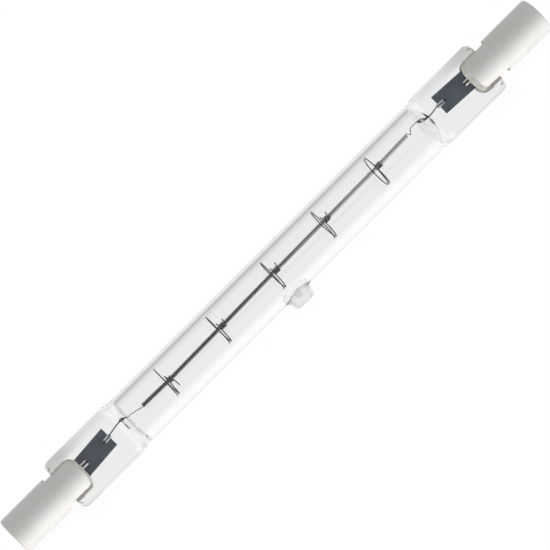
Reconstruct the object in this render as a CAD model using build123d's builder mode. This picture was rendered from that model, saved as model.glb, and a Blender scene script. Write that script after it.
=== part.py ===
from build123d import *
from math import asin, atan, atan2, cos, degrees, hypot, pi, sin, sqrt
import os

# Double-ended linear halogen lamp: a pinched quartz tube with a ceramic cap cemented on each end.
# Sizes in millimetres. The lamp lies on its side, its length along X, resting on the tube,
# with the sealed exhaust tip down beside it.

# quartz tube
tube_diameter = 9.1
tube_wall = 1.1
tube_length = 64.0

# flattened ends
shoulder_length = 3.0
pinch_length = 12.6
pinch_width = 9.7
pinch_thickness = 3.2
pinch_edge_radius = 0.7
pinch_corner_radius = 1.2
rim_width = 0.75
panel_depth = 0.1
cavity_end_gap = 0.3
cavity_end_height = 0.3
cavity_dome_rise = 1.4

# sealed exhaust tip
tip_place = 0.3
tip_diameter = 3.9
tip_height = 2.0
tip_flare = 0.55
tip_rounding = 0.8
tip_channel_diameter = 1.4
tip_end_wall = 1.3
tip_clearance = 0.1

# ceramic caps
cap_diameter = 6.6
cap_length = 14.8
cap_edge_chamfer = 0.25
slot_depth = 5.4
slot_end_gap = 1.8
tongue_corner_radius = 1.3
recess_diameter = 4.0
contact_set_back = 1.7
lead_bore_clearance = 0.15

# cement between the pinch and the cap's tongues
cement_layer = 0.2
cement_bead = 0.28

# contacts
contact_diameter = 3.4
contact_thickness = 0.5
contact_bevel = 0.2
contact_clearance = 0.05

# leads and foils
outer_lead_diameter = 0.8
outer_lead_overlap = 2.6
foil_width = 3.6
foil_thickness = 0.06
foil_set_in = 2.0
foil_end_gap = 2.1
tab_size = 0.7
tab_thickness = 0.06
inner_lead_diameter = 0.24
fit_clearance = 0.02

# filament coil
coil_diameter = 0.82
coil_pitch = 1.0
coil_wire = 0.2
coil_height_left = 0.2
coil_height_right = 1.05
runs_per_turn = 6
coil_wire_sides = 4

# filament supports
support_wire = 0.24
support_sides = 4
ring_clearance = 0.145
ring_height = 0.43
ring_spread = 0.5
ring_runs = 20
winding_pitch = 0.27
winding_gap = 0.35
spiral_runs = 7
support_shares = [0.089, 0.284, 0.487, 0.677, 0.876]
support_turns = [2.17, 2.33, 2.67, 2.17, 2.5]
support_tails = [1.3, 0.5, 0.6, 0.4, 0.5]

# the two ends, each with its own lie of foil and wires: bends are counted in from the flat
# end's start, or out from the coil's end, and up from the lamp's axis
left = -1
right = 1
coil_gap = {left: 5.2, right: 5.0}
foil_height = {left: 0.65, right: 0.8}
foil_slope = {left: -0.077, right: -0.055}
inner_lead_bends = {
    left: [(-1.7, 0.84), (0.6, 1.17), (1.6, 1.0), (2.4, 0.79)],
    right: [(-1.9, 0.9), (-0.2, 0.7), (0.9, 0.84), (2.1, 1.4)],
}
leg_bends = {
    left: [(1.7, 0.97), (2.6, 0.74)],
    right: [(1.2, 0.98), (2.2, 1.43)],
}
coil_end_bends = {
    left: [(0.4, 0.22), (0.15, 0.05)],
    right: [(1.35, 1.44), (0.7, 0.65)],
}

# worked-out places along the lamp
tube_radius = tube_diameter / 2
bore_radius = tube_radius - tube_wall
tube_half = tube_length / 2
pinch_start = tube_half + shoulder_length
pinch_end = pinch_start + pinch_length
cavity_end = pinch_start - cavity_end_gap
slot_floor = pinch_end + slot_end_gap
tongue_tip = slot_floor - slot_depth
cap_end = tongue_tip + cap_length
contact_face = cap_end - contact_set_back
recess_floor = contact_face - contact_thickness
cap_radius = cap_diameter / 2
panel_thickness = pinch_thickness - 2 * panel_depth
slot_width = panel_thickness + 2 * cement_layer
tongue_width = 2 * sqrt(cap_radius**2 - (slot_width / 2) ** 2)
outer_lead_radius = outer_lead_diameter / 2
foil_start = pinch_start + foil_set_in
foil_length = pinch_length - foil_set_in - foil_end_gap
coil_start = coil_gap[left] - pinch_start
coil_end = pinch_start - coil_gap[right]
coil_length = coil_end - coil_start
outer_lead_start = foil_start + foil_length - outer_lead_overlap
foil_top = -outer_lead_radius - fit_clearance
inner_lead_height = foil_top + tab_thickness + inner_lead_diameter / 2 + fit_clearance

# Roll of the lamp: the tube lies on the floor, and the middle of the tip's rounded edge is just
# clear of it.
# The origin lies on the floor, midway across the lamp's shadow.
tip_edge_cut = tip_rounding * (1 - sqrt(0.5))
tip_reach = tube_radius + tip_height - tip_edge_cut
tip_half = tip_diameter / 2 - tip_edge_cut
roll = asin((tube_radius - tip_clearance) / hypot(tip_reach, tip_half)) - atan2(tip_half, tip_reach)
tip_side = tip_reach * cos(roll) + tip_half * sin(roll)
pinch_corner = (pinch_width / 2 - pinch_edge_radius) * cos(roll)
pinch_side = pinch_corner + (pinch_thickness / 2 - pinch_edge_radius) * sin(roll) + pinch_edge_radius
middle = (tip_side - pinch_side) / 2
lamp = Plane(origin=(0, middle, tube_radius), x_dir=(1, 0, 0), z_dir=(0, -sin(roll), cos(roll)))
side = Plane(origin=lamp.origin, x_dir=lamp.x_dir, z_dir=-lamp.y_dir)


def across(x):
    # plane square to the lamp's length, its own X pointing away from the exhaust tip
    return Plane(origin=lamp.from_local_coords((x, 0, 0)), x_dir=lamp.y_dir, z_dir=lamp.x_dir)


def save(name, part):
    part.label = name
    export_step(part, f"parts/{name}.step")


def bent_wire(points, radius, sides):
    # polygon wire through points in the lamp's own frame, square to the path at each bend
    places = [lamp.from_local_coords(Vector(*point)) for point in points]
    heading = (places[1] - places[0]).normalized()
    facing = heading.cross(Vector(0.31, 0.17, 0.93)).normalized()
    with BuildPart() as wire:
        for index, place in enumerate(places):
            before = (place - places[max(index - 1, 0)]).normalized() if index else heading
            last = index == len(places) - 1
            after = before if last else (places[index + 1] - place).normalized()
            heading = (before + after).normalized()
            facing = (facing - heading * facing.dot(heading)).normalized()
            with BuildSketch(Plane(origin=place, x_dir=facing, z_dir=heading)):
                RegularPolygon(radius, sides)
        loft(ruled=True)
    return wire.part


def shoulder_section(share):
    # width, height and corner radius of the softened tube, from round (0) to flat (1)
    eased = share * share * (3 - 2 * share)
    width = tube_diameter + (pinch_width - tube_diameter) * eased
    height = tube_diameter + (pinch_thickness - tube_diameter) * eased
    corner = 0.499 * tube_diameter + (pinch_edge_radius - 0.499 * tube_diameter) * eased
    return width, height, corner


def pinch(end):
    with BuildPart() as flat:
        with BuildSketch(across(end * pinch_start)):
            RectangleRounded(pinch_width, pinch_thickness, pinch_edge_radius)
        extrude(amount=end * pinch_length)
        with BuildSketch(lamp):
            with Locations((end * (pinch_end - pinch_length), 0)):
                RectangleRounded(2 * pinch_length, pinch_width, pinch_corner_radius)
        extrude(amount=pinch_thickness, both=True, mode=Mode.INTERSECT)
        for height in (-1, 1):
            with BuildSketch(lamp.offset(height * pinch_thickness / 2)):
                with Locations((end * (pinch_start + pinch_length), 0)):
                    RectangleRounded(2 * (pinch_length - rim_width), pinch_width - 2 * rim_width, pinch_corner_radius)
            extrude(amount=-height * panel_depth, mode=Mode.SUBTRACT)
    return flat.part


def shoulder(end):
    with BuildPart() as neck:
        for share in (0, 0.35, 0.65, 1):
            width, height, corner = shoulder_section(share)
            with BuildSketch(across(end * (tube_half + shoulder_length * share))):
                RectangleRounded(width, height, corner)
        loft(ruled=True)
    return neck.part


def gas_ramp(share):
    # the end of the gas space seen from the side: from the full bore (0) to a thin edge (1)
    eased = share * share * (3 - 2 * share)
    height = bore_radius + 0.5 + (cavity_end_height / 2 - bore_radius - 0.5) * eased
    return tube_half + (cavity_end - tube_half) * share, height


def gas_space():
    dome_radius = (bore_radius**2 + cavity_dome_rise**2) / (2 * cavity_dome_rise)
    clear = bore_radius + 0.5
    with BuildPart() as space:
        with BuildSketch(across(-cavity_end)):
            Circle(bore_radius)
        extrude(amount=2 * cavity_end)
        with BuildSketch(lamp):
            Rectangle(2 * (cavity_end - dome_radius), 2 * clear)
            with Locations((dome_radius - cavity_end, 0), (cavity_end - dome_radius, 0)):
                Circle(dome_radius)
        extrude(amount=clear, both=True, mode=Mode.INTERSECT)
        with BuildSketch(side):
            with BuildLine():
                Polyline(*[gas_ramp(share) for share in (0, 0.35, 0.65, 1)])
                Polyline(gas_ramp(1), (cavity_end, 0), (0, 0), (0, clear), gas_ramp(0))
            make_face()
            mirror(about=Plane.YZ)
            mirror(about=Plane.XZ)
        extrude(amount=clear, both=True, mode=Mode.INTERSECT)
    return space.part


def exhaust_tip():
    # the sealed stub, flared where it grows out of the tube, its end rounded in two facets
    root = -(bore_radius + tube_wall / 3)
    top = -(tube_radius + tip_height)
    radius = tip_diameter / 2
    foot = radius + tip_flare
    stand = Plane(origin=lamp.from_local_coords((tip_place, 0, 0)), x_dir=lamp.x_dir, z_dir=lamp.z_dir)
    with BuildPart() as tip:
        with BuildSketch(stand):
            with BuildLine():
                Polyline(
                    (0, root),
                    (foot, root),
                    (foot, -tube_radius + tip_flare / 4),
                    (radius, -tube_radius - tip_flare),
                    (radius, top + tip_rounding),
                    (tip_half, -tip_reach),
                    (radius - tip_rounding, top),
                    (0, top),
                    close=True,
                )
            make_face()
        revolve(axis=Axis(stand.origin, lamp.y_dir))
    return tip.part


def exhaust_channel():
    # what is left of the pumping hole under the sealed tip, drawn to a blunt cone
    radius = tip_channel_diameter / 2
    mouth = -(bore_radius - tube_wall / 3)
    end = -(tube_radius + tip_height - tip_end_wall)
    stand = Plane(origin=lamp.from_local_coords((tip_place, 0, 0)), x_dir=lamp.x_dir, z_dir=lamp.z_dir)
    with BuildPart() as channel:
        with BuildSketch(stand):
            with BuildLine():
                Polyline(
                    (0, mouth),
                    (radius, mouth),
                    (radius, end + radius),
                    (radius / 2, end),
                    (0, end),
                    close=True,
                )
            make_face()
        revolve(axis=Axis(stand.origin, lamp.y_dir))
    return channel.part


def on_foil(end, along, height):
    # a point over a foil's middle line, which lies askew in the glass
    rise = foil_height[end] + (along - foil_start) * foil_slope[end]
    return (end * along, rise, height)


def foil(end):
    middle = foil_start + foil_length / 2
    with BuildPart() as strip:
        with BuildSketch(lamp.offset(foil_top - foil_thickness)):
            with Locations(on_foil(end, middle, 0)):
                Rectangle(foil_length, foil_width, rotation=end * degrees(atan(foil_slope[end])))
        extrude(amount=foil_thickness)
    return strip.part


def weld_tab(end):
    with BuildPart() as tab:
        with BuildSketch(lamp.offset(foil_top)):
            with Locations(on_foil(end, foil_start, 0)):
                Rectangle(tab_size, tab_size, rotation=end * degrees(atan(foil_slope[end])))
        extrude(amount=tab_thickness)
    return tab.part


def inner_lead(end):
    return bent_wire(inner_lead_path(end), inner_lead_diameter / 2, 6)


def inner_lead_path(end):
    # from the weld tab through the glass to a short tip that stands in the gas space
    tab = on_foil(end, foil_start + tab_size / 4, inner_lead_height)
    path = [tab]
    for inset, height in inner_lead_bends[end]:
        path.append((end * (pinch_start - inset), height, inner_lead_height))
    return path


def outer_lead(end):
    with BuildPart() as pin:
        with BuildSketch(across(end * outer_lead_start)):
            Circle(outer_lead_radius)
        extrude(amount=end * (recess_floor - outer_lead_start))
        inner_face = pin.faces().sort_by(Axis.X)[0 if end > 0 else -1]
        chamfer(inner_face.edges(), outer_lead_radius / 2)
    return pin.part


def contact(end):
    with BuildPart() as button:
        with BuildSketch(across(end * recess_floor)):
            Circle(contact_diameter / 2)
        extrude(amount=end * contact_thickness)
        front_face = button.faces().sort_by(Axis.X)[-1 if end > 0 else 0]
        chamfer(front_face.edges(), contact_bevel)
    return button.part


def ceramic_cap(end):
    with BuildPart() as cap:
        with BuildSketch(across(end * tongue_tip)):
            Circle(cap_radius)
        extrude(amount=end * cap_length)
        outer_face = cap.faces().sort_by(Axis.X)[-1 if end > 0 else 0]
        chamfer(outer_face.edges(), cap_edge_chamfer)
        with BuildSketch(lamp):
            with Locations((end * (tongue_tip + slot_depth), 0)):
                RectangleRounded(2 * slot_depth, tongue_width, tongue_corner_radius)
            with Locations((end * (slot_floor + cap_length / 2), 0)):
                Rectangle(cap_length, 2 * cap_diameter)
        extrude(amount=cap_diameter, both=True, mode=Mode.INTERSECT)
        with BuildSketch(side):
            with Locations((end * (slot_floor - slot_depth), 0)):
                Rectangle(2 * slot_depth, slot_width)
        extrude(amount=cap_diameter, both=True, mode=Mode.SUBTRACT)
        with BuildSketch(across(end * cap_end)):
            Circle(recess_diameter / 2)
        extrude(amount=-end * contact_set_back, mode=Mode.SUBTRACT)
        with BuildSketch(across(end * contact_face)):
            Circle(contact_diameter / 2 + contact_clearance)
        extrude(amount=-end * contact_thickness, mode=Mode.SUBTRACT)
        with BuildSketch(across(end * recess_floor)):
            Circle(outer_lead_radius + lead_bore_clearance)
        extrude(amount=-end * cap_length, mode=Mode.SUBTRACT)
    return cap.part


def cement(end):
    bead_width = tongue_width + 2 * cement_bead
    bead_reach = pinch_end - tongue_tip + cement_bead
    with BuildPart() as filling:
        with BuildSketch(lamp):
            with Locations((end * (pinch_end - bead_reach / 2), 0)):
                RectangleRounded(bead_reach, bead_width, tongue_corner_radius)
            with Locations((end * (slot_floor - slot_depth / 2 + tongue_corner_radius / 2), 0)):
                Rectangle(slot_depth - tongue_corner_radius, tongue_width)
        extrude(amount=slot_width / 2, both=True)
        add(pinch(end), mode=Mode.SUBTRACT)
        with BuildSketch(across(end * pinch_start)):
            Circle(outer_lead_radius)
        extrude(amount=end * cap_length * 2, mode=Mode.SUBTRACT)
    return filling.part


def coil_height(along):
    # the coil's middle line climbs a little from left to right
    return coil_height_left + (coil_height_right - coil_height_left) * (along - coil_start) / coil_length


def coil_point(along, turn):
    radius = (coil_diameter - coil_wire) / 2
    return (along, coil_height(along) + radius * cos(2 * pi * turn), radius * sin(2 * pi * turn))


def leg(end):
    # beside the inner lead, then on to the coil's end
    lift = inner_lead_height + (inner_lead_diameter + coil_wire) / 2 + fit_clearance
    tip = {left: -coil_start, right: coil_end}[end]
    beside = [(end * (pinch_start - inset), height, lift) for inset, height in leg_bends[end]]
    return beside + [(end * (tip + reach), height, lift) for reach, height in coil_end_bends[end]]


def filament():
    turns = round(coil_length / coil_pitch)
    runs = turns * runs_per_turn
    coil = [coil_point(coil_start + coil_length * run / runs, run / runs_per_turn) for run in range(runs + 1)]
    return bent_wire(leg(left) + coil + leg(right)[::-1], coil_wire / 2, coil_wire_sides)


def support_path(share, winding_turns, tail_length):
    # free end at the foot of the ring, round once, inwards along a spiral, round the coil, tail
    place = coil_start + coil_length * share
    axis_height = coil_height(place + ring_spread / 2 + winding_gap + winding_turns * winding_pitch / 2)
    ring_radius = bore_radius - ring_height - ring_clearance - support_wire / 2
    winding_radius = (coil_diameter + support_wire) / 2 + fit_clearance
    path = []
    for run in range(ring_runs + 1):
        turn = run / ring_runs
        angle = 2 * pi * (turn - 0.25)
        along = place + ring_spread * (turn - 0.5)
        path.append((along, ring_height + ring_radius * sin(angle), ring_radius * cos(angle)))
    start = place + ring_spread / 2
    for run in range(1, spiral_runs + 1):
        share = run / spiral_runs
        eased = share * share * (3 - 2 * share)
        angle = 2 * pi * (share * 0.6 - 0.25)
        radius = ring_radius + (winding_radius - ring_radius) * eased
        height = ring_height + (axis_height - ring_height) * eased
        path.append((start + winding_gap * share, height + radius * sin(angle), radius * cos(angle)))
    windings = round(winding_turns * runs_per_turn)
    for run in range(1, windings + 1):
        turn = run / runs_per_turn
        angle = 2 * pi * (0.35 + turn)
        along = start + winding_gap + winding_pitch * turn
        path.append((along, axis_height + winding_radius * sin(angle), winding_radius * cos(angle)))
    last = path[-1]
    heading = angle + pi / 2
    path.append((last[0] + winding_pitch / 2, last[1] + tail_length * sin(heading), last[2] + tail_length * cos(heading)))
    return path


def quartz_envelope():
    with BuildPart() as glass:
        with BuildSketch(across(-tube_half)):
            Circle(tube_radius)
        extrude(amount=tube_length)
        for end in (left, right):
            add(shoulder(end))
            add(pinch(end))
        add(exhaust_tip())
        add(gas_space(), mode=Mode.SUBTRACT)
        add(exhaust_channel(), mode=Mode.SUBTRACT)
        for end in (left, right):
            for metal in (foil(end), weld_tab(end), inner_lead(end), outer_lead(end)):
                add(metal, mode=Mode.SUBTRACT)
    return glass.part


os.makedirs("parts", exist_ok=True)
save("quartz_envelope", quartz_envelope())
save("filament", filament())
for number, support in enumerate(zip(support_shares, support_turns, support_tails), start=1):
    save(f"filament_support_{number}", bent_wire(support_path(*support), support_wire / 2, support_sides))
for end, name in ((left, "left"), (right, "right")):
    save(f"inner_lead_{name}", inner_lead(end))
    save(f"weld_tab_{name}", weld_tab(end))
    save(f"foil_{name}", foil(end))
    save(f"outer_lead_{name}", outer_lead(end))
    save(f"contact_{name}", contact(end))
    save(f"ceramic_cap_{name}", ceramic_cap(end))
    save(f"cement_{name}", cement(end))
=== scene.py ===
import math
import bpy
import bmesh
import numpy as np
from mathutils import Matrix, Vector, noise


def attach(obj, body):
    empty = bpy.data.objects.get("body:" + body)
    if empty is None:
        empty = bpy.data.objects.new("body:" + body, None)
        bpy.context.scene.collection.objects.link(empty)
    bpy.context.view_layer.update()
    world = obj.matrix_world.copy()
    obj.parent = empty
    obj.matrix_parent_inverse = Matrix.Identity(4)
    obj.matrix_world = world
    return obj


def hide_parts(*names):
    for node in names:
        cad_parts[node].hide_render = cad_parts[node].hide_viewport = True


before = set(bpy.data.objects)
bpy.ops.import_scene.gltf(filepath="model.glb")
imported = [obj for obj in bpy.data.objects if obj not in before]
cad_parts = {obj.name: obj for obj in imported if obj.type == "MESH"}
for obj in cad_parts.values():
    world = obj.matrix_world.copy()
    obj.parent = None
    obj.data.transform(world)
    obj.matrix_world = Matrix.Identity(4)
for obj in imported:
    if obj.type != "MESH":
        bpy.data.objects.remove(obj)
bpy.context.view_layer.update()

# Everything is drawn in the lamp's own frame in mm: x along the lamp, across is away from the
# exhaust tip in the plane of the flat ends, up is square to the flat ends. lampPlace turns it.
lamp = {"roll": 27.64203, "middle": 0.798468, "tubeRadius": 4.55, "boreRadius": 3.45, "tipPlace": -0.05}
ends = {"left": -1, "right": 1}
cosRoll = math.cos(math.radians(lamp["roll"]))
sinRoll = math.sin(math.radians(lamp["roll"]))


def lampPlace(points):
    points = np.asarray(points, float)
    x, across, up = points[..., 0], points[..., 1], points[..., 2]
    y = lamp["middle"] + across * cosRoll - up * sinRoll
    z = lamp["tubeRadius"] + across * sinRoll + up * cosRoll
    return np.stack((x, y, z), -1) * 0.001


def lampDirection(x, across, up):
    y = across * cosRoll - up * sinRoll
    z = across * sinRoll + up * cosRoll
    return Vector((x, y, z)).normalized()


def smoothStep(share):
    share = min(max(share, 0.0), 1.0)
    return share * share * (3 - 2 * share)


# node helpers
class Field:
    # a socket that can be used in sums
    def __init__(self, tree, socket):
        self.tree = tree
        self.socket = socket

    def sum(self, operation, first, second):
        node = self.tree.nodes.new("ShaderNodeMath")
        node.operation = operation
        feed(self.tree, node.inputs[0], first)
        feed(self.tree, node.inputs[1], second)
        return Field(self.tree, node.outputs[0])

    def __add__(self, other):
        return self.sum("ADD", self, other)

    def __radd__(self, other):
        return self.sum("ADD", other, self)

    def __sub__(self, other):
        return self.sum("SUBTRACT", self, other)

    def __rsub__(self, other):
        return self.sum("SUBTRACT", other, self)

    def __mul__(self, other):
        return self.sum("MULTIPLY", self, other)

    def __rmul__(self, other):
        return self.sum("MULTIPLY", other, self)

    def __abs__(self):
        return self.sum("ABSOLUTE", self, 0.0)

    def max(self, other):
        return self.sum("MAXIMUM", self, other)


def feed(tree, socket, value):
    if isinstance(value, Field):
        tree.links.new(value.socket, socket)
    else:
        socket.default_value = value


class Recipe:
    # the node tree of one material, or of the world
    def __init__(self, owner):
        owner.use_nodes = True
        self.tree = owner.node_tree
        self.tree.nodes.clear()

    def add(self, kind, settings=None, inputs=None, output=0):
        node = self.tree.nodes.new(kind)
        for key, value in (settings or {}).items():
            if key == "stops":
                fillRamp(node.color_ramp, value)
            else:
                setattr(node, key, value)
        for key, value in (inputs or {}).items():
            feed(self.tree, node.inputs[key], value)
        return Field(self.tree, node.outputs[output]) if node.outputs else node

    def place(self, scale=(1, 1, 1)):
        # object coordinates in mm times scale
        where = self.add("ShaderNodeTexCoord", output="Object")
        size = [1000 * part for part in scale]
        return self.add("ShaderNodeMapping", None, {"Vector": where, "Scale": size})

    def split(self, vector):
        kind = "ShaderNodeSeparateXYZ"
        return [self.add(kind, None, {"Vector": vector}, axis) for axis in ("X", "Y", "Z")]

    def lampSpot(self):
        # mm along the lamp, across it and up from its axis
        x, y, z = self.split(self.place())
        sideways, height = y - lamp["middle"], z - lamp["tubeRadius"]
        across = sideways * cosRoll + height * sinRoll
        return x, across, height * cosRoll - sideways * sinRoll

    def cloud(self, scale, detail=3.0, rough=0.5, stretch=(1, 1, 1)):
        inputs = {"Vector": self.place(stretch), "Scale": scale, "Detail": detail, "Roughness": rough}
        return self.add("ShaderNodeTexNoise", None, inputs)

    def ramp(self, value, stops):
        return self.add("ShaderNodeValToRGB", {"stops": stops}, {"Fac": value})

    def levels(self, value, stops, low=0, high=1):
        # grey levels at values from low to high
        if (low, high) != (0, 1):
            value = (value - low) * (1 / (high - low))
        return self.ramp(value, [((place - low) / (high - low), grey(level)) for place, level in stops])

    def blend(self, factor, first, second):
        return self.add("ShaderNodeMix", {"data_type": "RGBA"}, {"Factor": factor, 6: first, 7: second}, 2)

    def bump(self, height, strength, distance):
        inputs = {"Height": height, "Strength": strength, "Distance": distance}
        return self.add("ShaderNodeBump", None, inputs)

    def ray(self, kind):
        return self.add("ShaderNodeLightPath", output=kind)

    def mixShaders(self, factor, first, second):
        return self.add("ShaderNodeMixShader", None, {"Fac": factor, 1: first, 2: second})

    def surface(self, shader):
        self.add("ShaderNodeOutputMaterial", None, {"Surface": shader})


def fillRamp(ramp, stops):
    while len(ramp.elements) > len(stops):
        ramp.elements.remove(ramp.elements[-1])
    while len(ramp.elements) < len(stops):
        ramp.elements.new(1.0)
    for element, (position, colour) in zip(ramp.elements, stops):
        element.position = position
        element.color = colour if len(colour) == 4 else (*colour, 1)


def grey(level):
    return (level, level, level, 1)


def newMaterial(name):
    material = bpy.data.materials.new(name)
    return material, Recipe(material)


# mesh helpers
nearAxis = 0.02   # turned and tapered shapes stop this short of their axis, in mm
smoothUpTo = 50   # degrees between faces that still look like one surface


def ringFaces(rows, around):
    faces = []
    for row in range(rows - 1):
        for step in range(around):
            first = row * around + step
            second = row * around + (step + 1) % around
            faces.append((first, second, second + around, first + around))
    faces.append(tuple(range(around))[::-1])
    faces.append(tuple((rows - 1) * around + step for step in range(around)))
    return faces


def tidyMesh(mesh, inward=False):
    work = bmesh.new()
    work.from_mesh(mesh)
    bmesh.ops.recalc_face_normals(work, faces=work.faces)
    if inward:
        bmesh.ops.reverse_faces(work, faces=work.faces)
    work.to_mesh(mesh)
    work.free()
    mesh.shade_smooth()


def meshObject(name, points, faces):
    mesh = bpy.data.meshes.new(name)
    mesh.from_pydata(lampPlace(points).tolist(), [], faces)
    mesh.update()
    tidyMesh(mesh)
    piece = bpy.data.objects.new(name, mesh)
    bpy.context.scene.collection.objects.link(piece)
    return piece


def ringObject(name, rings):
    rings = np.asarray(rings, float)
    rows, around = rings.shape[:2]
    return meshObject(name, rings.reshape(-1, 3), ringFaces(rows, around))


def lathe(name, profile, end, steps):
    # profile is (x, radius) pairs, turned round the lamp's axis at one end
    angles = np.linspace(0, 2 * math.pi, steps, endpoint=False)
    rings = []
    for x, radius in profile:
        rings.append([(end * x, radius * math.cos(a), radius * math.sin(a)) for a in angles])
    return ringObject(name, rings)


def settle(piece):
    # bakes a piece's modifiers into its mesh
    depsgraph = bpy.context.evaluated_depsgraph_get()
    mesh = bpy.data.meshes.new_from_object(piece.evaluated_get(depsgraph))
    piece.modifiers.clear()
    piece.data = mesh


def carve(piece, tool, operation="DIFFERENCE"):
    change = piece.modifiers.new("carve", "BOOLEAN")
    change.operation = operation
    change.solver = "EXACT"
    change.object = tool
    settle(piece)
    bpy.data.objects.remove(tool)


def join(piece, others):
    work = bmesh.new()
    work.from_mesh(piece.data)
    for other in others:
        work.from_mesh(other.data)
        bpy.data.objects.remove(other)
    work.to_mesh(piece.data)
    work.free()


def softenEdges(piece, width, angle=35):
    bevel = piece.modifiers.new("edges", "BEVEL")
    bevel.width = width * 0.001
    bevel.segments = 3
    bevel.limit_method = "ANGLE"
    bevel.angle_limit = math.radians(angle)
    bevel.harden_normals = False
    settle(piece)
    piece.data.shade_smooth()
    piece.data.set_sharp_from_angle(angle=math.radians(angle))


def smoothPath(points, steps):
    # Catmull-Rom curve through the points
    points = [np.array(point, float) for point in points]
    padded = [2 * points[0] - points[1]] + points + [2 * points[-1] - points[-2]]
    path = []
    for index in range(1, len(padded) - 2):
        before, first, second, after = padded[index - 1:index + 3]
        for step in range(steps):
            t = step / steps
            path.append(0.5 * (2 * first + (second - before) * t
                               + (2 * before - 5 * first + 4 * second - after) * t * t
                               + (3 * first - before - 3 * second + after) * t ** 3))
    path.append(points[-1])
    return path


def wire(name, path, radius, sides):
    # round wire along a path, its section carried along without twist, its two ends rounded
    path = np.array(path, float)
    radii = np.broadcast_to(radius, len(path))   # one radius, or one for each point
    headings = np.gradient(path, axis=0)
    headings /= np.linalg.norm(headings, axis=1)[:, None]
    facing = np.cross(headings[0], (0.31, 0.17, 0.93))   # any direction that no wire starts in
    angles = np.linspace(0, 2 * math.pi, sides, endpoint=False)
    rings = []
    for place, heading, thick in zip(path, headings, radii):
        facing = facing - heading * facing.dot(heading)
        facing /= np.linalg.norm(facing)
        sideways = np.cross(heading, facing)
        rings.append([place + thick * (math.cos(a) * facing + math.sin(a) * sideways) for a in angles])
    rings = np.array(rings)

    def cappedEnd(index, way):
        # how far the end draws in, and how far it reaches
        out = headings[index] * radii[index] * way
        return [path[index] + (rings[index] - path[index]) * draw + out * reach
                for draw, reach in ((0.85, 0.2), (0.45, 0.36))]

    return ringObject(name, np.concatenate((cappedEnd(0, -1)[::-1], rings, cappedEnd(-1, 1))))


def finishPiece(piece, node, material):
    piece.data.materials.clear()
    piece.data.materials.append(material)
    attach(piece, "root")
    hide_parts(node)


# materials
# where the quartz changes, as (mm, level) pairs from the lamp's middle or from its axis, and its tints
quartzLook = {
    "tipRound": [(5.2, 1), (7.6, 0)], "tipAcross": [(-4.0, 1), (-3.5, 0)],   # tipRound in square mm
    "shoulders": [(32.6, 0), (33.4, 1), (35.0, 1), (35.4, 0)], "rim": [(3.7, 0), (4.2, 1)],
    "edgeAcross": [(2.7, 0), (4.1, 1)], "edgeAlong": [(35.2, 0), (36.0, 1)],
    "upperShadeAcross": [(3.1, 0), (3.6, 1)], "upperShadeAlong": [(40, 0), (45, 1)],
    "closingAlong": [(33.2, 0), (33.5, 1), (34.925, 1), (35.0, 0)], "closingUp": [(0.45, 1), (0.7, 0)],
    "closingAcross": [(-3.5, 0), (-3.2, 0.2), (-2.2, 0.3), (-0.9, 0.35), (-0.6, 0.75), (0.1, 0.75),
                      (0.3, 0.35), (0.6, 0.5), (0.8, 1), (1.85, 1), (2.1, 0.4), (3.2, 0.25), (3.5, 0)],
    # the tints for the long edges, the upper edge beside the caps, the tip and the closing edge are painted
    # shade, greys where the glass's refraction looks dark or grey
    "tint": (0.985, 0.988, 0.988, 1), "edgeShadeTint": (0.86, 0.865, 0.865, 1),
    "upperShadeTint": (0.66, 0.66, 0.65, 1), "tipShadeTint": (0.90, 0.905, 0.91, 1),
    "closingShadeTint": (0.03, 0.03, 0.035, 1),
    "clearTint": (0.975, 0.98, 0.98, 1), "clearShoulder": (0.962, 0.966, 0.966, 1),
    "clearTip": (0.88, 0.885, 0.89, 1), "ior": 1.458, "tipRough": 0.12, "broken": [(0.36, 0.8), (0.5, 1)],
    # shares of every ray that go straight through at the shoulders and the tip, a painted lightening of
    # their dark refraction, and the share of that which the rim stops
    "shoulderThrough": 0.955, "tipThrough": 0.8, "rimStops": 0.6}


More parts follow.
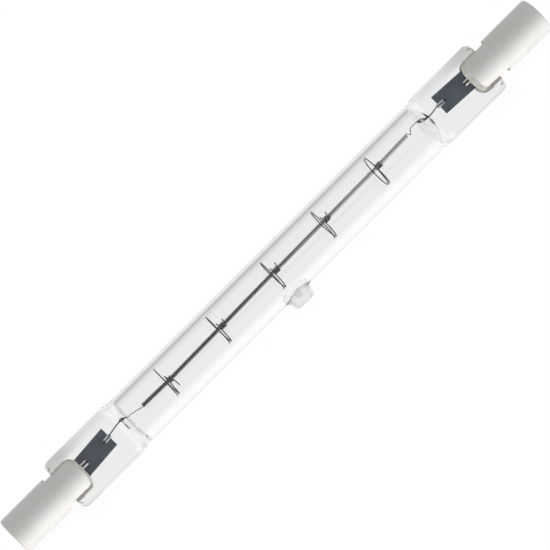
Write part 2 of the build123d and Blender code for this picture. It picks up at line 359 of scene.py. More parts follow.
def clearQuartz():
    # clear to the lamps' shadow rays, so that the wires inside are lit
    look = quartzLook
    material, recipe = newMaterial("clear quartz")
    lines = recipe.cloud(1.0, 2.0, 0.5, (0.02, 1.2, 1.2))
    ripple = recipe.cloud(0.35, 1.0, 0.4)
    drawn = recipe.bump(lines + 0.6 * ripple, 0.2, 0.00003)
    along, across, up = recipe.lampSpot()
    reach, aside, beside = abs(along), abs(across), along - lamp["tipPlace"]
    # the glass round the exhaust tip is rougher, and tinted grey there as painted shade for its grey
    # refraction
    melted = recipe.levels(beside * beside + up * up, look["tipRound"], 0, 20)
    melted = melted * recipe.levels(across, look["tipAcross"], -5, 5)
    shoulders = recipe.levels(reach, look["shoulders"], 0, 50)
    rim = recipe.levels(aside, look["rim"], 0, 10)
    # painted shade: the thin closing edge of the gas space is tinted near black in places, where its
    # refraction looks dark
    broken = recipe.levels(recipe.cloud(0.9, 2.0, 0.5), look["broken"])
    closingShade = recipe.levels(reach, look["closingAlong"], 0, 50) * recipe.levels(abs(up), look["closingUp"])
    closingShade = closingShade * broken * recipe.levels(across, look["closingAcross"], -5, 5)
    # painted shade: the long edges of the flat ends are tinted a little darker, where their refraction looks
    # dark, the upper one most beside the caps
    edge = recipe.levels(aside, look["edgeAcross"], 0, 10) * recipe.levels(reach, look["edgeAlong"], 0, 100)
    # painted shade: beside the caps the upper edge is tinted greyer still, in rippled patches
    upperShade = recipe.levels(across + 0.5 * ripple, look["upperShadeAcross"], 0, 10)
    upperShade = upperShade * recipe.levels(reach, look["upperShadeAlong"], 0, 100)
    tint = look["tint"]
    zones = {"edgeShadeTint": edge, "upperShadeTint": upperShade, "tipShadeTint": melted, "closingShadeTint": closingShade}
    for name, zone in zones.items():
        tint = recipe.blend(zone, tint, look[name])
    glass = recipe.add("ShaderNodeBsdfPrincipled", None, {
        "Base Color": tint, "Roughness": look["tipRough"] * melted, "IOR": look["ior"],
        "Transmission Weight": 1.0, "Normal": drawn})
    # painted light and shade: at the shoulders and the tip part of every ray passes straight through, which
    # lightens their dark refraction, less at the rim and the closing edge, and that see-through part is
    # tinted a little grey there
    clear = recipe.add("ShaderNodeBsdfTransparent", None, {"Color": look["clearTint"]})
    for zone, name in ((shoulders, "clearShoulder"), (melted, "clearTip")):
        darker = recipe.add("ShaderNodeBsdfTransparent", None, {"Color": look[name]})
        clear = recipe.mixShaders(zone, clear, darker)
    thinned = look["shoulderThrough"] * shoulders * (1 - closingShade) * (1 - look["rimStops"] * rim)
    thinned = thinned.max(look["tipThrough"] * melted)
    straight = recipe.ray("Is Shadow Ray").max(recipe.ray("Is Diffuse Ray")).max(thinned)
    recipe.surface(recipe.mixShaders(straight, glass, clear))
    return material


steatiteLook = {"tints": [(0.3, (0.775, 0.765, 0.735)), (0.7, (0.83, 0.815, 0.80))],
                "spots": [(0.66, 0), (0.72, 1)], "spotDepth": 0.25, "spotTint": (0.60, 0.58, 0.54, 1),
                "rough": 0.42, "roughRange": 0.2, "relief": 0.35, "ior": 1.5}


def glazedSteatite():
    look = steatiteLook
    material, recipe = newMaterial("steatite")
    patches = recipe.cloud(0.35, 3.0, 0.6)
    grain = recipe.cloud(6.0, 4.0, 0.65)
    spots = recipe.levels(recipe.cloud(2.6, 2.0, 0.5), look["spots"])
    colour = recipe.blend(look["spotDepth"] * spots, recipe.ramp(patches, look["tints"]), look["spotTint"])
    recipe.surface(recipe.add("ShaderNodeBsdfPrincipled", None, {
        "Base Color": colour, "Roughness": look["rough"] + look["roughRange"] * grain, "IOR": look["ior"],
        "Normal": recipe.bump(grain + 0.5 * patches, look["relief"], 0.00003)}))
    return material


cementLook = {"tints": [(0.35, (0.72, 0.74, 0.66)), (0.55, (0.78, 0.76, 0.70)), (0.7, (0.78, 0.69, 0.64))],
              "grain": [(0.35, 0), (0.6, 1)], "grainTint": (0.60, 0.59, 0.54, 1),
              "lowerShade": [(-2.85, 1), (-2.5, 0)], "lowerShadeWander": 0.35, "lowerShadeTint": (0.30, 0.27, 0.25, 1),
              "rough": 0.8, "relief": 0.6}


def cementPaste():
    # painted shadow: darkened along its lower edge, where the tongue's lower side meets the glass in shade
    look = cementLook
    material, recipe = newMaterial("cement")
    patches = recipe.cloud(0.8, 3.0, 0.6)
    grain = recipe.cloud(9.0, 5.0, 0.7)
    tint = recipe.ramp(patches, look["tints"])
    colour = recipe.blend(recipe.levels(grain, look["grain"]), look["grainTint"], tint)
    # painted shadow along the lower edge, its border wandering with the patches
    wandering = recipe.lampSpot()[1] + look["lowerShadeWander"] * (patches - 0.5)
    colour = recipe.blend(recipe.levels(wandering, look["lowerShade"], -5, 5), colour, look["lowerShadeTint"])
    recipe.surface(recipe.add("ShaderNodeBsdfPrincipled", None, {
        "Base Color": colour, "Roughness": look["rough"],
        "Normal": recipe.bump(grain, look["relief"], 0.00006)}))
    return material


metalLooks = {
    "tungsten wire": {"dark": (0.010, 0.010, 0.011), "light": (0.036, 0.036, 0.040), "rough": 0.45,
                      "scale": 3.0},
    "molybdenum foil": {"dark": (0.055, 0.070, 0.082), "light": (0.092, 0.105, 0.135), "rough": 0.5,
                        "scale": 1.5, "stretch": (0.12, 1, 1), "relief": 0.25},
    "lead wire": {"dark": (0.20, 0.20, 0.20), "light": (0.42, 0.41, 0.39), "rough": 0.35,
                  "glintBands": [(-0.17, 0.03), (-0.11, 0.95), (0.05, 0.95), (0.11, 0.04), (0.5, 0.04),
                            (0.56, 0.8), (0.72, 0.8), (0.78, 0.02)]},
    "weld tab": {"dark": (0.22, 0.22, 0.26), "light": (0.70, 0.70, 0.76), "rough": 0.35, "scale": 5.0},
    "contact metal": {"dark": (0.45, 0.43, 0.39), "light": (0.62, 0.60, 0.56), "rough": 0.3, "scale": 1.5}}


def metal(name, dark, light, rough, scale=2.0, stretch=(1, 1, 1), relief=0.2, glintBands=None):
    # bands are (mm from the lamp's axis, level) pairs for a wire drawn with dark and bright stripes, a
    # painted highlight: glints along its sides
    material, recipe = newMaterial(name)
    patches = recipe.cloud(scale * 0.3, 3.0, 0.6)
    lines = recipe.cloud(scale * 4, 3.0, 0.6, stretch)
    colour = recipe.ramp(0.65 * patches + 0.35 * lines, [(0.35, dark), (0.65, light)])
    if glintBands:
        # painted highlight: the glint stripes give most of the wire's colour
        paintedGlint = recipe.levels(recipe.lampSpot()[1], glintBands, -1, 1)
        colour = recipe.blend(0.04 + 0.12 * lines, paintedGlint, colour)
    recipe.surface(recipe.add("ShaderNodeBsdfPrincipled", None, {
        "Base Color": colour, "Metallic": 1.0, "Roughness": rough + 0.2 * (lines - 0.5),
        "Normal": recipe.bump(lines, relief, 0.00001)}))
    return material


quartz = clearQuartz()
steatite = glazedSteatite()
cement = cementPaste()
metals = {name: metal(name, **look) for name, look in metalLooks.items()}
print("materials are mixed")


# the camera, at the photograph's angle
view = {"distance": 0.4478, "focal": 184.6, "sensor": 36, "endTilt": 4.5, "aim": (-0.56, 0.17, 0.0)}


def setCamera():
    # the lamp runs from corner to corner, so along and over are each half way between the picture's axes
    tilt = math.radians(view["endTilt"])
    back = (lampDirection(0, 0, 1) * math.cos(tilt) + lampDirection(-1, 0, 0) * math.sin(tilt)).normalized()
    along = (lampDirection(1, 0, 0) - back * lampDirection(1, 0, 0).dot(back)).normalized()
    over = back.cross(along)
    right = (along - over).normalized()
    up = (along + over).normalized()
    camera = bpy.data.cameras.new("camera")
    camera.lens = view["focal"]
    camera.sensor_width = view["sensor"]
    camera.clip_start = 0.01
    eye = bpy.data.objects.new("camera", camera)
    bpy.context.scene.collection.objects.link(eye)
    eye.location = Vector(lampPlace(view["aim"]).tolist()) + back * view["distance"]
    matrix = eye.matrix_world.copy()
    for row in range(3):
        matrix[row][0], matrix[row][1], matrix[row][2] = right[row], up[row], back[row]
    matrix.translation = eye.location
    eye.matrix_world = matrix
    bpy.context.scene.camera = eye


setCamera()


# the quartz: tube, flat ends and gas space in one glass
glass = {"tubeHalf": 32.6, "pinchStart": 35.1, "pinchEnd": {"left": 47.95, "right": 47.35},
         "pinchWidth": 9.7, "pinchThickness": 3.2, "sideTrim": 0.03, "sideWobble": 0.05,
         "edgeRadius": 0.7, "planRadius": 1.2, "endRounding": 0.3,
         "rimWidth": 0.73, "rimSlope": 0.25, "panelDepth": 0.1,
         "bump": 0.04, "bumpPlace": 34.0, "bumpLength": 0.5,
         "cavityEnd": {"left": 34.2, "right": 34.9}, "cavityEase": 0.22, "cavityNose": 0.35,
         "domeRise": 1.4, "cavityFlatness": 0.9,
         "outsideRings": {"shoulderFrom": 31.5, "shoulderStep": 0.15, "endLength": 1.4, "endStep": 0.1},
         "cavityRings": {"shoulderFrom": 31.8, "shoulderStep": 0.08, "endLength": 0.4, "endStep": 0.025}}
# foot and channel: radius, rise above the round surface below, and how far it has left that round form
tip = {"neck": 1.97, "end": 6.43, "rounding": 0.65, "dish": [(0.7, 0.02), (0.3, 0.05), (0.02, 0.06)],
       "foot": [(2.75, -0.4, 0), (2.7, -0.05, 0), (2.6, -0.005, 0), (2.52, 0.02, 0), (2.45, 0.06, 0),
                (2.37, 0.13, 0.02), (2.28, 0.23, 0.06), (2.19, 0.37, 0.15), (2.1, 0.55, 0.3),
                (2.03, 0.75, 0.6), (1.97, 1.0, 0.9)],
       "channel": [(1.05, -0.5, 0), (1.0, 0.0, 0), (0.8, 0.12, 0.3), (0.72, 0.35, 1), (0.6, 0.8, 1),
                   (0.56, 1.2, 1), (0.46, 1.5, 1), (0.26, 1.72, 1), (0.02, 1.8, 1)]}


def flatQuarter(halfWidth, halfHeight):
    # one quarter of the flat end's outline, from its side to its middle, with the raised rim
    sideSteps, cornerSteps, slopeSteps, panelSteps = 8, 9, 5, 15
    edge = min(glass["edgeRadius"], halfHeight * 0.98, halfWidth * 0.98)
    points = [(halfWidth, (halfHeight - edge) * step / sideSteps) for step in range(sideSteps)]
    for step in range(cornerSteps + 1):
        angle = math.pi / 2 * step / cornerSteps
        y, z = halfWidth - edge + edge * math.cos(angle), halfHeight - edge + edge * math.sin(angle)
        points.append((y, z))
    rim = halfWidth - glass["rimWidth"]
    depth = glass["panelDepth"] * min(1, halfHeight / (glass["pinchThickness"] / 2))
    for step in range(1, slopeSteps + 1):
        share = step / slopeSteps
        points.append((rim - glass["rimSlope"] * share, halfHeight - depth * smoothStep(share)))
    inner = rim - glass["rimSlope"]
    points += [(inner * (1 - step / panelSteps), halfHeight - depth) for step in range(1, panelSteps + 1)]
    return points


def fullOutline(quarter):
    # quarter from (w, 0) to (0, h), mirrored to the whole outline, anticlockwise
    first = list(quarter)
    second = [(-y, z) for y, z in reversed(first[:-1])]
    third = [(y, -z) for y, z in reversed(second[:-1])]
    fourth = [(-y, z) for y, z in reversed(third[:-1])]
    return first + second + third + fourth[:-1]


def roundAngles():
    # where each point of the flat end's outline lies on the round tube
    halfWidth, halfHeight = glass["pinchWidth"] / 2, glass["pinchThickness"] / 2
    nominal = fullOutline(flatQuarter(halfWidth, halfHeight))
    return [math.atan2(z / halfHeight, y / halfWidth) for y, z in nominal]


def sideOf(x):
    return "left" if x < 0 else "right"


def drawnIn(radius, toEnd):
    # how far a corner of this radius has drawn in, this close to the end
    if toEnd >= radius:
        return 0.0
    return radius - math.sqrt(max(radius ** 2 - (radius - toEnd) ** 2, 0))


def glassSection(x, angles):
    reach = abs(x)
    share = smoothStep((reach - glass["tubeHalf"]) / (glass["pinchStart"] - glass["tubeHalf"]))
    toEnd = glass["pinchEnd"][sideOf(x)] - reach
    halfWidth = glass["pinchWidth"] / 2 - glass["sideTrim"] - drawnIn(glass["planRadius"], toEnd)
    halfHeight = glass["pinchThickness"] / 2 - drawnIn(glass["endRounding"], toEnd)
    wobble = glass["sideWobble"] * share * noise.noise(Vector((x * 0.35, 3.1, 0))) if toEnd > 0.5 else 0
    halfWidth += wobble - glass["sideTrim"] * share
    bump = glass["bump"] * math.exp(-((reach - glass["bumpPlace"]) / glass["bumpLength"]) ** 2)
    ring = []
    for (y, z), angle in zip(fullOutline(flatQuarter(halfWidth, halfHeight)), angles):
        roundY = lamp["tubeRadius"] * math.cos(angle)
        roundZ = lamp["tubeRadius"] * math.sin(angle)
        bulge = bump * math.copysign(1, y) * min(abs(y), 1)
        ring.append((x, roundY + (y - roundY) * share + bulge, roundZ + (z - roundZ) * share))
    return ring


def cavitySection(x, steps=96):
    # the bore runs alongside the outside of the shoulder and closes in a thin curved edge
    reach = abs(x)
    bore = lamp["boreRadius"]
    end = glass["cavityEnd"][sideOf(x)]
    share = smoothStep((reach - glass["tubeHalf"]) / (end + glass["cavityEase"] - glass["tubeHalf"]))
    height = bore * (1 - share)
    nose = (reach - end) / glass["cavityNose"] + 1
    if nose > 0:
        height *= math.sqrt(max(1 - nose ** 2, 0.0))
    dome = (bore ** 2 + glass["domeRise"] ** 2) / (2 * glass["domeRise"])
    fromCentre = reach - (end - dome)
    width = bore
    if fromCentre > 0:
        width = min(bore, math.sqrt(max(dome ** 2 - fromCentre ** 2, 0.0)))
    power = 1 / (1 + glass["cavityFlatness"] * share)

    def flattened(size, part):
        return size * math.copysign(abs(part) ** power, part)

    angles = [2 * math.pi * step / steps for step in range(steps)]
    return [(x, flattened(width, math.cos(a)), flattened(height, math.sin(a))) for a in angles]


def lengthStations(reaches, shoulderFrom, shoulderStep, endLength, endStep):
    # every 1 mm in the middle, closer at the shoulders and closest at the two ends
    places = set()
    for side, reach in reaches.items():
        last = reach - 0.002   # so that the last ring keeps some size
        steps = list(np.arange(0, shoulderFrom, 1.0))
        steps += list(np.arange(shoulderFrom, reach - endLength, shoulderStep))
        steps += list(np.arange(reach - endLength, last, endStep)) + [last]
        places |= {round(ends[side] * step, 4) for step in steps}
    return sorted(places)


def tipRings(profile, radiusBelow, steps):
    # rows of (radius, rise, share): a share of 0 follows the round surface below, 1 is level
    rings = []
    for radius, rise, share in profile:
        ring = []
        for a in np.linspace(0, 2 * math.pi, steps, endpoint=False):
            side = radius * math.sin(a)
            below = math.sqrt(radiusBelow ** 2 - side ** 2)
            below += (radiusBelow - below) * share
            ring.append((lamp["tipPlace"] + radius * math.cos(a), -(below + rise), side))
        rings.append(ring)
    return rings


def tipOutside():
    # a flared foot, a rounded end and a slight dish
    neck, rounding = tip["neck"], tip["rounding"]
    flat = tip["end"] - lamp["tubeRadius"]
    profile = list(tip["foot"])
    for step in range(9):
        angle = math.pi / 2 * step / 8
        inward, down = rounding * (1 - math.cos(angle)), rounding * (1 - math.sin(angle))
        profile.append((neck - inward, flat - down, 1))
    profile += [(radius, flat - depth, 1) for radius, depth in tip["dish"]]
    return ringObject("tip outside", tipRings(profile, lamp["tubeRadius"], 72))


def makeGlass():
    angles = roundAngles()
    stations = lengthStations(glass["pinchEnd"], **glass["outsideRings"])
    outside = ringObject("quartz", [glassSection(x, angles) for x in stations])
    carve(outside, tipOutside(), "UNION")
    stations = lengthStations(glass["cavityEnd"], **glass["cavityRings"])
    inside = ringObject("gas space", [cavitySection(x) for x in stations])
    channel = ringObject("tip inside", tipRings(tip["channel"], lamp["boreRadius"], 48))
    carve(inside, channel, "UNION")
    tidyMesh(inside.data, inward=True)
    join(outside, [inside])
    outside.data.shade_smooth()
    outside.data.set_sharp_from_angle(angle=math.radians(smoothUpTo))
    finishPiece(outside, "quartz_envelope", quartz)


makeGlass()
print("the glass is blown and pinched")


# the coil and its supports
coil = {"start": -29.95, "end": 30.15, "diameter": 0.76, "wire": 0.25, "thinWire": 0.145,
        "thinRate": 1.3, "thinLag": 0.2, "turns": 166, "pointsPerTurn": 14, "unevenness": 0.03,
        "legWire": 0.13, "legLift": 0.02,
        "heights": [(-29.95, 0.35), (-24.2, 0.24), (-12.6, 0.41), (-0.4, 0.60), (11.0, 0.71), (23.0, 0.84),
                    (30.15, 1.02)]}
legBends = {"left": [(-33.3, 0.97), (-32.4, 0.74), (-30.2, 0.22), (-29.95, 0.05)],
            "right": [(33.8, 0.98), (32.8, 1.43), (31.35, 1.44), (30.7, 0.65)]}


def coilHeight(x):
    places, heights = zip(*coil["heights"])   # straight from support to support
    return float(np.interp(x, places, heights))


def coilPath():
    # the wire looks thinner towards the right
    count = coil["turns"] * coil["pointsPerTurn"]
    path, radii = [], []
    for step in range(count + 1):
        share = step / count
        x = coil["start"] + (coil["end"] - coil["start"]) * share
        angle = 2 * math.pi * step / coil["pointsPerTurn"]
        thinned = smoothStep(share * coil["thinRate"] - coil["thinLag"])
        thick = coil["wire"] + (coil["thinWire"] - coil["wire"]) * thinned
        uneven = 1 + coil["unevenness"] * noise.noise(Vector((x * 1.7, 5.0, 0)))
        radius = (coil["diameter"] - thick) / 2 * uneven
        path.append((x, coilHeight(x) + radius * math.cos(angle), radius * math.sin(angle)))
        radii.append(thick / 2)
    return path, radii


def makeFilament():
    lift = coil["legLift"]
    leftLeg = smoothPath([(x, height, lift) for x, height in legBends["left"]], 8)
    rightLeg = smoothPath([(x, height, lift) for x, height in legBends["right"]][::-1], 8)
    helix, radii = coilPath()
    thin = coil["legWire"] / 2
    radii = [thin] * len(leftLeg) + radii + [thin] * len(rightLeg)
    piece = wire("filament", leftLeg + helix + rightLeg, radii, 8)
    finishPiece(piece, "filament", metals["tungsten wire"])


supports = {"wire": 0.19, "ringDiameter": 5.75, "ringHeight": 0.43, "windingPitch": 0.26,
            "windingStart": 0.54, "footTurn": -0.25, "spiralTurn": 0.6,
            "shares": [0.086, 0.280, 0.483, 0.673, 0.874], "spreads": [0.4, 0.4, 0.4, 0.4, -0.35],
            "turns": [2.17, 3.67, 3.67, 3.67, 3.17], "tails": [1.7, 0.75, 0.95, 0.85, 0.5],
            "ringSteps": 72, "spiralSteps": 40, "stepsPerTurn": 24, "tailSteps": 8}


def onCircle(x, height, radius, angle):
    return (x, height + radius * math.sin(angle), radius * math.cos(angle))


def supportPath(share, spread, turns, tail):
    # foot of the ring, once round, in along a spiral, tight turns on the coil, free tail
    place = coil["start"] + (coil["end"] - coil["start"]) * share
    pitch, foot, middle = supports["windingPitch"], supports["footTurn"], supports["ringHeight"]
    gap = supports["windingStart"] - spread / 2
    axis = coilHeight(place + supports["windingStart"] + turns * pitch / 2)
    ringRadius = (supports["ringDiameter"] - supports["wire"]) / 2
    windingRadius = (coil["diameter"] + supports["wire"]) / 2
    path = []
    for step in range(supports["ringSteps"] + 1):
        turn = step / supports["ringSteps"]
        angle = 2 * math.pi * (turn + foot)
        path.append(onCircle(place + spread * (turn - 0.5), middle, ringRadius, angle))
    start = place + spread / 2
    for step in range(1, supports["spiralSteps"] + 1):
        part = step / supports["spiralSteps"]
        eased = smoothStep(part)
        radius = ringRadius + (windingRadius - ringRadius) * eased
        angle = 2 * math.pi * (part * supports["spiralTurn"] + foot)
        path.append(onCircle(start + gap * part, middle + (axis - middle) * eased, radius, angle))
    for step in range(1, round(turns * supports["stepsPerTurn"]) + 1):
        turn = step / supports["stepsPerTurn"]
        angle = 2 * math.pi * (foot + supports["spiralTurn"] + turn)
        path.append(onCircle(start + gap + pitch * turn, axis, windingRadius, angle))
    x, height, lift = path[-1]
    heading = angle + math.pi / 2
    for step in range(1, supports["tailSteps"] + 1):
        part = step / supports["tailSteps"]
        rise, forward = tail * part * math.sin(heading), tail * part * math.cos(heading)
        path.append((x + pitch / 2 * part, height + rise, lift + forward))
    return path


def makeSupports():
    rows = zip(supports["shares"], supports["spreads"], supports["turns"], supports["tails"])
    for number, row in enumerate(rows, start=1):
        piece = wire(f"filament_support_{number}_wire", supportPath(*row), supports["wire"] / 2, 10)
        finishPiece(piece, f"filament_support_{number}", metals["tungsten wire"])


makeFilament()
makeSupports()
print("the coil is wound and hung on its supports")


# what is sealed in the flat ends: foils, tabs and leads
foil = {"start": 37.2, "length": 8.5, "width": 3.6, "top": -0.42, "thickness": 0.05, "thinEdge": 0.12,
        "sag": 0.02,
        "lie": {"left": (0.65, -0.077), "right": (0.8, -0.055)}}   # height at the start, and slope
tab = {"start": -0.35, "end": 1.15, "width": 0.74, "gap": 0.005, "thickness": 0.05, "roundedBy": 0.02,
       "endTaper": 0.14}


def onFoil(side, reach):
    middle, slope = foil["lie"][side]
    return ends[side] * reach, middle + (reach - foil["start"]) * slope


def makeFoil(side):
    # feathered edges: the strip thins to both sides
    rows, columns = 48, 28
    half = foil["width"] / 2
    shares = [math.sin(math.pi / 2 * (2 * step / columns - 1)) for step in range(columns + 1)]
    rings = []
    for row in range(rows + 1):
        reach = foil["start"] + foil["length"] * row / rows
        x, middle = onFoil(side, reach)
        upper, lower = [], []
        for share in shares:
            sag = foil["sag"] * noise.noise(Vector((reach * 0.9, share * 2.0, 7.0 + ends[side])))
            thick = foil["thickness"] / 2 * max(1 - share ** 4, foil["thinEdge"])
            level = foil["top"] - foil["thickness"] / 2 + sag
            upper.append((x, middle + half * share, level + thick))
            lower.append((x, middle + half * share, level - thick))
        rings.append(upper + lower[::-1])
    piece = ringObject(f"foil_{side}_strip", rings)
    finishPiece(piece, f"foil_{side}", metals["molybdenum foil"])


def makeTab(side):
    half = tab["width"] / 2
    shares = (-1, -0.9, -0.5, 0, 0.5, 0.9, 1)
    top, bottom = foil["top"] + tab["thickness"], foil["top"] + tab["gap"]
    rings = []
    for row in range(13):
        share = row / 12
        shrink = 1 - tab["endTaper"] * abs(2 * share - 1) ** 6
        x, middle = onFoil(side, foil["start"] + tab["start"] + (tab["end"] - tab["start"]) * share)
        ring = [(x, middle + half * shrink * part, top - tab["roundedBy"] * part ** 4) for part in shares]
        ring += [(x, middle + half * shrink * part, bottom) for part in shares[::-1]]
        rings.append(ring)
    piece = ringObject(f"weld_tab_{side}_plate", rings)
    finishPiece(piece, f"weld_tab_{side}", metals["weld tab"])


innerLead = {"wire": 0.2, "height": -0.24, "overFoil": 1.4, "endDip": 0.02, "levelFrom": 0.2,
             "weldLength": 0.3, "weldSwell": 1.3,
             # where the lead thickens, how long, how much
             "bulge": {"left": (33.95, 0.28, 2.8), "right": (33.5, 0.7, 2.4)},
             "bends": {"left": [(36.7, 0.84), (34.4, 1.17), (33.4, 1.0), (32.6, 0.79)],
                       "right": [(36.9, 0.9), (35.2, 0.7), (34.1, 0.84), (32.9, 1.4)]}}


def makeInnerLead(side):
    # lies along the tab, swells at the weld, and dives through the glass to the filament's leg
    level = innerLead["height"]
    weldPlace = foil["start"] + innerLead["overFoil"]
    bulgePlace, bulgeLength, bulgeSwell = innerLead["bulge"][side]
    points = [(*onFoil(side, weldPlace), level - innerLead["endDip"]),
              (*onFoil(side, foil["start"] + innerLead["levelFrom"]), level)]
    points += [(ends[side] * reach, height, level) for reach, height in innerLead["bends"][side]]
    path = smoothPath(points, 10)
    radii = []
    for point in path:
        reach = abs(point[0])
        weld = math.exp(-((reach - weldPlace) / innerLead["weldLength"]) ** 2)
        bulge = math.exp(-((reach - bulgePlace) / bulgeLength) ** 2)
        radii.append(innerLead["wire"] / 2 * (1 + innerLead["weldSwell"] * weld + bulgeSwell * bulge))
    piece = wire(f"inner_lead_{side}_wire", path, radii, 12)
    finishPiece(piece, f"inner_lead_{side}", metals["tungsten wire"])


outerLead = {"wire": 0.8, "start": 42.55, "end": 56.6, "swaged": 0.54, "offset": 0.33,
             "fadeFrom": 43.95, "fadeLength": 3.5}


def makeOuterLead(side):
    # its swaged end lies on the foil, a little off the lamp's axis
    radius, swaged = outerLead["wire"] / 2, outerLead["swaged"]
    path, radii = [], []
    for x in np.linspace(outerLead["start"], outerLead["end"], 70):
        inward = 1 - smoothStep((x - outerLead["fadeFrom"]) / outerLead["fadeLength"])
        path.append((ends[side] * x, outerLead["offset"] * inward, 0))
        radii.append(radius + (swaged - radius) * inward)
    piece = wire(f"outer_lead_{side}_wire", path, radii, 40)
    finishPiece(piece, f"outer_lead_{side}", metals["lead wire"])


for side in ends:
    makeFoil(side)
    makeTab(side)
    makeInnerLead(side)
    makeOuterLead(side)
print("foils and leads are sealed in")


# ceramic caps and contacts
cap = {"radius": 3.3, "tongueTip": 44.0, "slotFloor": 49.4, "end": 58.8, "edge": 0.3, "slotWidth": 3.4,
       "cornerRadius": 1.6, "recessRadius": 2.0, "recessDepth": 1.7, "seatRadius": 1.75, "leadRadius": 0.55,
       "softened": 0.09}
contact = {"thickness": 0.5, "radius": 1.7, "chamfer": 0.04, "rounding": 0.2, "roundingRise": 0.14,
           "crown": 0.06, "crownRadius": 1.4}
tongueHalf = math.sqrt(cap["radius"] ** 2 - (cap["slotWidth"] / 2) ** 2)
quarterTurn = np.linspace(0, math.pi / 2, 7)


def prism(name, outline, low, high, end):
    # outline in x and across, pulled up from low to high
    points = [(end * x, y, level) for level in (low, high) for x, y in outline]
    return meshObject(name, points, ringFaces(2, len(outline)))


def tongueOutline(half, tipPlace, floor, radius, steps=12):
    # from the slot's floor round the tongue's two corners and back
    outline = [(floor, -half)]
    x = tipPlace + radius
    for y, start in ((-half + radius, -math.pi / 2), (half - radius, math.pi)):
        for step in range(steps + 1):
            angle = start - math.pi / 2 * step / steps
            outline.append((x + radius * math.cos(angle), y + radius * math.sin(angle)))
    outline.append((floor, half))
    return outline


def makeCap(side):
    end, edge = ends[side], cap["edge"]
    first, floor, outer, radius = cap["tongueTip"], cap["slotFloor"], cap["end"], cap["radius"]
    planReach, slotReach = 4.0, 5.0   # past the cap's radius, so that the tools cut right through
    profile = [(first, nearAxis), (first, radius * 0.5), (first, radius)]
    profile += [(x, radius) for x in np.linspace(first + 0.5, outer - edge - 0.5, 24)]
    for a in quarterTurn:
        profile.append((outer - edge + edge * math.sin(a), radius - edge + edge * math.cos(a)))
    profile += [(outer, cap["recessRadius"] + 0.25), (outer, nearAxis)]
    piece = lathe(f"ceramic_cap_{side}_body", profile, end, 128)
    plan = tongueOutline(tongueHalf, first, floor, cap["cornerRadius"])
    plan += [(floor, planReach), (outer + 1, planReach), (outer + 1, -planReach), (floor, -planReach)]
    carve(piece, prism("plan", plan, -planReach, planReach, end), "INTERSECT")
    slotBox = [(first - 1, -slotReach), (floor, -slotReach), (floor, slotReach), (first - 1, slotReach)]
    carve(piece, prism("slot", slotBox, -cap["slotWidth"] / 2, cap["slotWidth"] / 2, end))
    face = outer - cap["recessDepth"]
    seat = face - contact["thickness"]
    recess = [(outer + 1, nearAxis), (outer + 1, cap["recessRadius"]), (face, cap["recessRadius"]),
              (face, cap["seatRadius"]), (seat, cap["seatRadius"]), (seat, cap["leadRadius"]),
              (floor - 1, cap["leadRadius"]), (floor - 1, nearAxis)]
    carve(piece, lathe("recess", recess, end, 96))
    softenEdges(piece, cap["softened"])
    finishPiece(piece, f"ceramic_cap_{side}", steatite)


def makeContact(side):
    # a button with a rounded edge and a slightly crowned face
    face = cap["end"] - cap["recessDepth"]
    back = face - contact["thickness"]
    radius, chamfer, rounding = contact["radius"], contact["chamfer"], contact["rounding"]
    crown, crownRadius = contact["crown"], contact["crownRadius"]
    profile = [(back, nearAxis), (back, 1.2), (back, radius - chamfer), (back + chamfer, radius),
               (face - rounding, radius)]
    for a in quarterTurn[1:]:
        lift = contact["roundingRise"] * math.sin(a)
        profile.append((face - rounding + lift, radius - rounding + rounding * math.cos(a)))
    for r in np.linspace(crownRadius, nearAxis, 12):
        profile.append((face - crown + crown * (1 - (r / crownRadius) ** 2), r))
    piece = lathe(f"contact_{side}_button", profile, ends[side], 72)
    finishPiece(piece, f"contact_{side}", metals["contact metal"])


# the cement: a fill in the slot, a layer under each tongue, and a bead squeezed out round it
bead = {"width": 0.36, "height": 0.26, "lumps": 0.14, "squeezed": {"left": 0.15, "right": 0.5},
        "squeezedLength": 1.6, "lowerWidth": 0.18, "lowerFrom": 1.8, "lowerFade": 0.7, "endInset": 0.15,
        "tuck": 0.12, "flatIn": 0.6, "flatDown": 0.35, "spacing": 0.12, "behind": 50}
fill = {"overlap": 0.3, "chamfer": 0.1, "inset": 0.06, "unevenness": 0.05, "skin": 0.001,
        "layerInset": 0.15, "layerOverlap": 0.2, "layerGap": 0.002}


def beadPath(side):
    # round the tongue's edge, from beside the flat end's edge, over the tip and back
    start = glass["pinchEnd"][side] - bead["endInset"]
    outline = tongueOutline(tongueHalf, cap["tongueTip"], start, cap["cornerRadius"])
    dense = []
    for (x, y), (nextX, nextY) in zip(outline, outline[1:]):
        steps = max(1, int(math.hypot(nextX - x, nextY - y) / bead["spacing"]))
        for step in range(steps):
            share = step / steps
            dense.append((x + (nextX - x) * share, y + (nextY - y) * share))
    dense.append(outline[-1])
    return dense


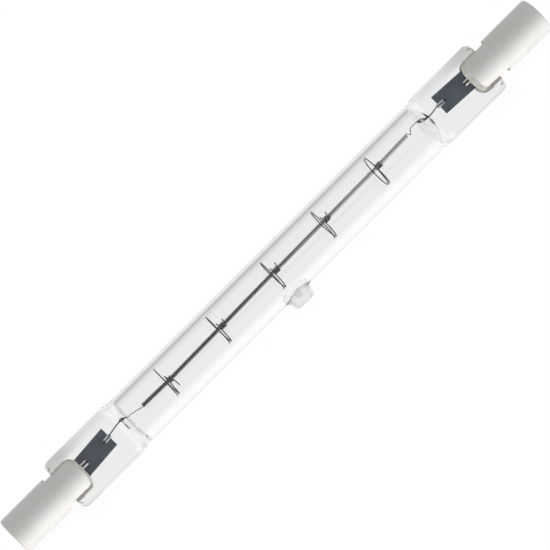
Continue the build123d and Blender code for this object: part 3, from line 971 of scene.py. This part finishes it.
def makeBead(side, level):
    # a fillet of cement where tongue and flat end meet
    end = ends[side]
    path = beadPath(side)
    top = glass["pinchThickness"] / 2 - glass["panelDepth"]
    rings = []
    for index, (x, y) in enumerate(path):
        before, after = path[max(index - 1, 0)], path[min(index + 1, len(path) - 1)]
        heading = Vector((after[0] - before[0], after[1] - before[1])).normalized()
        outward = Vector((heading[1], -heading[0]))
        if outward.dot(Vector((x - bead["behind"], y))) <= 0:   # away from a place behind the tongue
            outward = -outward
        lumps = bead["lumps"] * noise.noise(Vector((x * 1.3, y * 1.3, level * 4 + end)))
        # wider at the tongue's tip and along its lower edge
        squeezed = bead["squeezed"][side] * max(0.0, 1 - (x - cap["tongueTip"]) / bead["squeezedLength"])
        lower = bead["lowerWidth"] * smoothStep((-y - bead["lowerFrom"]) / bead["lowerFade"])
        width = bead["width"] + lumps + squeezed + lower
        height = cap["slotWidth"] / 2 - top + bead["height"] + lumps
        ring = []
        for step in range(16):
            angle = 2 * math.pi * step / 16
            out = -bead["tuck"] + width * max(math.cos(angle), -bead["flatIn"])
            lift = height * max(math.sin(angle), -bead["flatDown"])
            ring.append((end * (x + outward[0] * out), y + outward[1] * out, level * (top + lift)))
        rings.append(ring)
    return ringObject("bead", rings)


def makeCement(side):
    end = ends[side]
    inner = cap["slotWidth"] / 2 - fill["skin"]
    glassEnd = glass["pinchEnd"][side]
    edge = tongueHalf - fill["inset"]
    places = np.linspace(glassEnd - fill["overlap"], cap["slotFloor"], 10)

    def uneven(x, seed):
        return fill["unevenness"] * noise.noise(Vector((x * 2, seed, end)))

    corner = (places[0] - fill["chamfer"], tongueHalf - fill["chamfer"])
    outline = [(corner[0], -corner[1])]
    outline += [(x, -edge + uneven(x, 1.0)) for x in places]
    outline += [(x, edge + uneven(x, 9.0)) for x in places[::-1]]
    outline.append(corner)
    plug = prism(f"cement_{side}_fill", outline, -inner, inner, end)
    inset, layerEnd = fill["layerInset"], glassEnd - fill["layerOverlap"]
    layer = tongueOutline(tongueHalf - inset, cap["tongueTip"] + inset, layerEnd, cap["cornerRadius"])
    onGlass = glass["pinchThickness"] / 2 - glass["panelDepth"] + fill["layerGap"]
    parts = []
    for level in (-1, 1):
        low, high = sorted((level * onGlass, level * inner))
        parts.append(prism("layer", layer, low, high, end))
        parts.append(makeBead(side, level))
    join(plug, parts)
    tidyMesh(plug.data)
    plug.data.set_sharp_from_angle(angle=math.radians(smoothUpTo))
    finishPiece(plug, f"cement_{side}", cement)


for side in ends:
    makeCap(side)
    makeContact(side)
    makeCement(side)
print("caps are cemented on")


# floor, backdrop and lights
studio = {"floorHalf": 0.9, "floorGlow": 0.92, "floorPaper": 0.16, "floorBounce": 0.8}
# what the glass shows of the floor: mm toward the back, and how white
floorBehindGlass = [(-60, 1.0), (-2.2, 1.0), (-1.4, 0.97), (-1.0, 0.91), (-0.4, 0.84), (7, 0.835),
                    (9.4, 0.81), (11.5, 0.73), (13.5, 0.55), (17, 0.50), (35, 0.50), (60, 0.62), (100, 0.86)]
# the room by how far a ray points to the back: what lights matt surfaces, and what glass and metal show
roomLight = [(-1.0, 0.40), (0.0, 0.37), (0.4, 0.40), (1.0, 0.66)]
roomShown = [(-1.0, 1.0), (0.0, 0.92), (0.6, 0.88), (1.0, 0.85)]
# the soft lights: place, size, power and aim, in m and W
lights = {"near softbox": ((-0.15, -0.5, 0.12), (0.7, 0.2), 0.55, (0, 0, 0)),
          "top softbox": ((-0.1, 0.15, 0.6), (0.5, 0.5), 0.27, (0, 0, 0)),
          "low light panel": ((0, -0.035, 0.0005), (0.16, 0.05), 0.08, (0, -0.035, 1))}


def makeFloor():
    half = studio["floorHalf"]
    mesh = bpy.data.meshes.new("floor")
    corners = [(-half, -half, 0), (half, -half, 0), (half, half, 0), (-half, half, 0)]
    mesh.from_pydata(corners, [], [(0, 1, 2, 3)])
    floor = bpy.data.objects.new("floor", mesh)
    bpy.context.scene.collection.objects.link(floor)
    material, recipe = newMaterial("floor")
    paper = recipe.add("ShaderNodeBsdfDiffuse", None, {"Color": grey(studio["floorPaper"])})
    glow = recipe.add("ShaderNodeEmission", None, {"Color": grey(1), "Strength": studio["floorGlow"]})
    lit = recipe.add("ShaderNodeAddShader", None, {0: paper, 1: glow})
    shade = recipe.levels(recipe.split(recipe.place())[1], floorBehindGlass, -100, 100)
    behind = recipe.add("ShaderNodeEmission", None, {"Color": shade, "Strength": 1.0})
    plain = recipe.add("ShaderNodeBsdfDiffuse", None, {"Color": grey(studio["floorBounce"])})
    mixed = recipe.mixShaders(recipe.ray("Is Camera Ray").max(recipe.ray("Is Glossy Ray")), plain, lit)
    recipe.surface(recipe.mixShaders(recipe.ray("Is Transmission Ray"), mixed, behind))
    mesh.materials.append(material)


def makeWorld():
    world = bpy.data.worlds.new("studio")
    bpy.context.scene.world = world
    recipe = Recipe(world)
    towardBack = recipe.split(recipe.add("ShaderNodeTexCoord", output="Generated"))[1]

    def backdrop(colour):
        return recipe.add("ShaderNodeBackground", None, {"Color": colour, "Strength": 1.0})

    room = backdrop(recipe.levels(towardBack, roomLight, -1, 1))
    seen = backdrop(recipe.levels(towardBack, roomShown, -1, 1))
    shown = recipe.ray("Is Glossy Ray").max(recipe.ray("Is Transmission Ray"))
    mixed = recipe.mixShaders(shown, room, seen)
    mixed = recipe.mixShaders(recipe.ray("Is Camera Ray"), mixed, backdrop(grey(1)))
    recipe.add("ShaderNodeOutputWorld", None, {"Surface": mixed})


def softLamp(name, place, size, power, aim):
    light = bpy.data.lights.new(name, "AREA")
    light.shape = "RECTANGLE"
    light.size, light.size_y = size
    light.energy = power
    holder = bpy.data.objects.new(name, light)
    bpy.context.scene.collection.objects.link(holder)
    holder.location = place
    holder.rotation_euler = (Vector(aim) - Vector(place)).to_track_quat("-Z", "Y").to_euler()
    holder.visible_camera = holder.visible_glossy = holder.visible_transmission = False


makeFloor()
makeWorld()
for name, settings in lights.items():
    softLamp(name, *settings)
bpy.context.scene.view_settings.view_transform = "Standard"
print("floor and lights are set")
